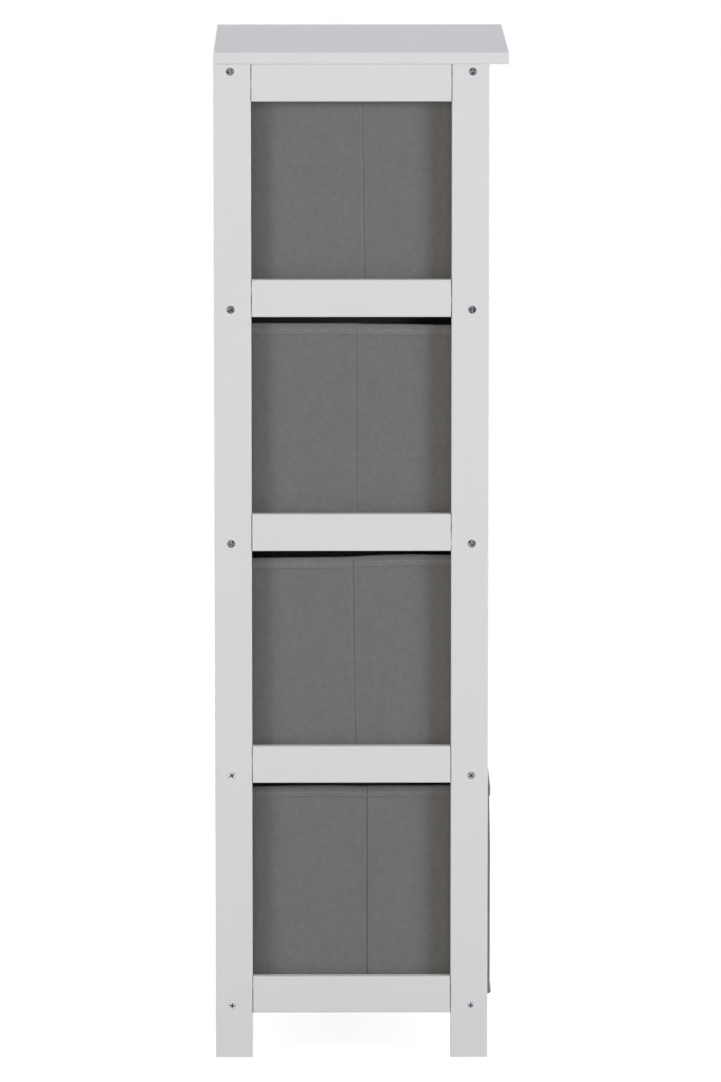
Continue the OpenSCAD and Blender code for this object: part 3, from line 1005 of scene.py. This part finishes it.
rows = [(out * MM, HEM_EDGE + up * MM) for out, up in HEM_OUTSIDE]
rows += [(out * MM, HEIGHT + up * MM) for out, up in HEM_RIM]
rows += [(out * MM, HEM_EDGE + up * MM) for out, up in HEM_INSIDE]
out, height = rows[0]
bpy.ops.mesh.primitive_plane_add(size=1, location=(0, 0, height))
hem = bpy.context.object
hem.scale = (WIDTH + 2 * out, DEPTH + 2 * out, 1)
bpy.ops.object.transform_apply(location=True, rotation=False, scale=True)
edit(hem, "VERT")
bpy.ops.mesh.bevel(offset=CORNER, segments=CORNER_SEGMENTS, affect="VERTICES")
bpy.ops.mesh.select_all(action="SELECT")
bpy.ops.mesh.delete(type="ONLY_FACE")
bpy.ops.mesh.select_all(action="SELECT")
for next_out, next_height in rows[1:]:
    bpy.ops.mesh.extrude_region_move(TRANSFORM_OT_translate={"value": (0, 0, next_height - height)})
    bpy.ops.transform.resize(
        value=(
            (WIDTH + 2 * next_out) / (WIDTH + 2 * out),
            (DEPTH + 2 * next_out) / (DEPTH + 2 * out),
            1,
        ),
        center_override=(0, 0, next_height),
    )
    out, height = next_out, next_height
cut_upright()
bpy.ops.mesh.select_all(action="SELECT")
bpy.ops.mesh.normals_make_consistent(inside=False)
lay_weave()
places = points_of(hem)
# Painted shade in the fold, and painted highlights on its ridges and along the strip's lower edge
painted_shading(hem, fold_painted_shading(places), EDGE_PAINTED_HIGHLIGHT * (places[:, 2] < HEM_EDGE + EDGE_HIGHLIGHT_HEIGHT))
modify(hem, "SOLIDIFY", thickness=HEM_THICK, offset=0, use_even_offset=True)
rim_cloth = cloth("grey_cloth_rim", HEM_CLOTH_LOW, HEM_CLOTH_HIGH, WEAVE_PITCH, WEAVE_RELIEF)
sew(hem, "rim_binding", rim_cloth, "hem")

# Drawer stitches.
# The thread is thick polyester, a little lighter than the cloth and with more shine.
# It runs round the hem outside and inside, down each fold, and round the base board.

STITCH_PITCH = 4.0 * MM
STITCH_LENGTH = 2.9 * MM
STITCH_SLANT = 0.8
THREAD_WIDTH = 1.0 * MM
THREAD_HEIGHT = 0.5 * MM
THREAD_RELIEF = 0.1 * MM
FOLD_THREAD_WIDTH = 0.5 * MM
# The stitches of a row stray by half of this, in waves with these lengths in mm for each radian
STITCH_STRAY = 0.35 * MM
STRAY_RUNS = (1.3, 2.9)
# The hem's row lies this high above its edge, and outside and inside the cover's face by these
HEM_ROW = 4.0 * MM
HEM_ROW_OUT = 0.95 * MM
HEM_ROW_IN = -4.95 * MM
FOLD_ROW_OUT = 0.05 * MM
BASE_ROW_INSET = 12 * MM
THREAD_LOW = (0.25, 0.248, 0.248)
THREAD_HIGH = (0.38, 0.377, 0.38)
FOLD_THREAD_LOW = (0.13, 0.128, 0.13)
FOLD_THREAD_HIGH = (0.25, 0.248, 0.25)


def twisted_thread(name, low, high):
    """Thread with a fine twist, worn unevenly along its row."""
    material, shader, places = new_material(name, Sheen_Weight=0.2, Specular_IOR_Level=0.4)
    twist = places["Object"].noise(scale=3000)
    wear = places["Object"].noise(scale=160, detail=1)
    connect(
        shader,
        Base_Color=(0.5 * twist + 1.6 * wear - 0.55).blend(low, high),
        Roughness=0.5 + 0.25 * twist,
        Normal=twist.relief(THREAD_RELIEF),
    )
    return material


def stitch_row(start, end, out, pitch=STITCH_PITCH, width=THREAD_WIDTH):
    """A row of small slanting loops of thread from start to end, on the cloth that faces out."""
    start, end, out = Vector(start), Vector(end), Vector(out).normalized()
    count = max(1, round((end - start).length / pitch))
    step = (end - start) / count
    run = step.normalized()
    bpy.ops.mesh.primitive_uv_sphere_add(segments=6, ring_count=4, radius=0.5)
    stitch = bpy.context.object
    length = STITCH_LENGTH * step.length / STITCH_PITCH
    aside = out.cross(run)
    along = (run - STITCH_SLANT * width / THREAD_WIDTH * aside).normalized()
    turn = Matrix((aside * width, out * THREAD_HEIGHT, along * length)).transposed()
    stitch.data.transform(Matrix.Translation(start + step / 2) @ turn.to_4x4())
    modify(
        stitch,
        "ARRAY",
        count=count,
        use_relative_offset=False,
        use_constant_offset=True,
        constant_offset_displace=step,
    )
    return stitch


def stitch_ring(half_x, half_y, height, facing=None):
    """Rows along four walls at one height, on cloth that faces outwards (1), inwards (-1) or up."""
    rows = []
    for sign in (-1, 1):
        out_x, out_y = ((sign * facing, 0, 0), (0, sign * facing, 0)) if facing else [(0, 0, 1)] * 2
        corner = CORNER if facing else 0
        x, y = half_x - corner, half_y - corner
        rows.append(stitch_row((sign * half_x, -y, height), (sign * half_x, y, height), out_x))
        rows.append(stitch_row((-x, sign * half_y, height), (x, sign * half_y, height), out_y))
    return rows


thread = twisted_thread("sewing_thread", THREAD_LOW, THREAD_HIGH)
rows = stitch_ring(WIDTH / 2 + HEM_ROW_OUT, DEPTH / 2 + HEM_ROW_OUT, HEM_EDGE + HEM_ROW, 1)
rows += stitch_ring(WIDTH / 2 + HEM_ROW_IN, DEPTH / 2 + HEM_ROW_IN, HEM_EDGE + HEM_ROW, -1)
stitches = join(rows, "stitches")
places = points_of(stitches)
stray = sum(np.sin(places[:, axis] / (run * MM)) for axis in (0, 1) for run in STRAY_RUNS)
places[:, 2] += 0.5 * STITCH_STRAY * stray
move_points(stitches, places)
sew(stitches, "stitches", thread)

fold_thread = twisted_thread("fold_thread", FOLD_THREAD_LOW, FOLD_THREAD_HIGH)
rows = []
for sign in (-1, 1):
    for raised, foot, top in (
        (FOLD_ROW_OUT, SEAM_HEIGHT, HEM_EDGE),
        (HEM_ROW_OUT, HEM_EDGE, HEIGHT - MM),
    ):
        face = sign * (WIDTH / 2 + raised)
        ends = (face, 0, foot), (face, 0, top)
        rows.append(stitch_row(*ends, (sign, 0, 0), width=FOLD_THREAD_WIDTH))
sew(join(rows, "fold_stitches"), "fold_stitches", fold_thread)

rows = stitch_ring(WIDTH / 2 - BASE_ROW_INSET, DEPTH / 2 - BASE_ROW_INSET, base_top)
sew(join(rows, "base_stitches"), "base_stitches", thread)

# Drawer handles.
# A doubled strap of slightly darker cloth, sewn to the front with a crossed box of stitches at
# both ends. Between them it hangs slack against the cover, and a finger lifts it.

STRAP_LOW = (0.128, 0.126, 0.125)
STRAP_HIGH = (0.162, 0.159, 0.158)
STRAP_WEAVE = 1.5 * WEAVE_PITCH
STRAP_RELIEF = 0.12
STRAP_THICK = 1.6 * MM
STRAP_END = 22 * MM
STRAP_RISE = 21 * MM
STRAP_EDGE = 0.5 * MM
# The share of the solid handle's stand-off that the slack strap keeps
SLACK_SHARE = 0.3
# Steps between the cuts across the strap, and the places of those along it in mm from its middle
STRAP_STEP = 2.5 * MM
STRAP_CUTS = (-11, -10.1, -9, 0, 9, 10.1, 11)
# Rows of stitches run this far from the strap's long edges, and draw its outer face in by the
# depth, over the reach on either side. The boxes' other rows run this far from their edges
EDGE_ROW, EDGE_ROW_DEPTH, EDGE_ROW_REACH = 2.4 * MM, 0.2 * MM, 1.0 * MM
BOX_ROW = 3.0 * MM
# What lies past this share of the strap's thickness is its outer face
OUTER_SHARE = 0.7
STRAP_PITCH = 3.2 * MM

low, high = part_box("drawer_1_handle")
strap_length, strap_width = high.x - low.x, high.z - low.z
strap_gap = SLACK_SHARE * (high.y - low.y - STRAP_THICK)
strap_height = (low.z + high.z) / 2 - cover_low.z
front = -DEPTH / 2


def lift_strap(piece):
    """Bends a strap that lies flat on the front to the way it stands off the cover."""
    places = points_of(piece)
    flat = strap_length / 2 - STRAP_END - STRAP_RISE
    share = np.clip((np.abs(places[:, 0]) - flat) / STRAP_RISE, 0, 1)
    places[:, 1] -= strap_gap * (1 + np.cos(math.pi * share)) / 2
    move_points(piece, places)


strap = block((strap_length, STRAP_THICK, strap_width), (0, front - STRAP_THICK / 2, strap_height))
edit(strap, "EDGE")
bpy.ops.mesh.bevel(offset=STRAP_EDGE, segments=3, affect="EDGES")
cut_both_sides(0, spaced(0, strap_length / 2 - MM, STRAP_STEP))
cut_across(2, [strap_height + cut * MM for cut in STRAP_CUTS])
lay_weave()
places = points_of(strap)
edge_row = bump(np.abs(places[:, 2] - strap_height) - strap_width / 2, -EDGE_ROW, EDGE_ROW_REACH)
on_face = places[:, 1] < front - OUTER_SHARE * STRAP_THICK
places[:, 1] += np.where(on_face, EDGE_ROW_DEPTH * edge_row, 0)
move_points(strap, places)
lift_strap(strap)
strap_cloth = cloth("strap_cloth", STRAP_LOW, STRAP_HIGH, STRAP_WEAVE, STRAP_RELIEF)
sew(strap, "strap", strap_cloth, "handle")

face = front - STRAP_THICK
half_x, half_z = strap_length / 2, strap_width / 2
bottom, top = (strap_height + sign * (half_z - 2 * EDGE_ROW) for sign in (-1, 1))
rows = []
for sign in (-1, 1):
    z = strap_height + sign * (half_z - EDGE_ROW)
    outer, inner = sign * (half_x - BOX_ROW), sign * (half_x - STRAP_END + BOX_ROW)
    for (start_x, start_z), (end_x, end_z) in (
        ((BOX_ROW - half_x, z), (half_x - BOX_ROW, z)),
        ((outer, bottom), (outer, top)),
        ((inner, bottom), (inner, top)),
        ((outer, bottom), (inner, top)),
        ((outer, top), (inner, bottom)),
    ):
        ends = (start_x, face, start_z), (end_x, face, end_z)
        rows.append(stitch_row(*ends, (0, -1, 0), STRAP_PITCH))
strap_stitches = join(rows, "strap_stitches")
lift_strap(strap_stitches)
sew(strap_stitches, "strap_stitches", thread)
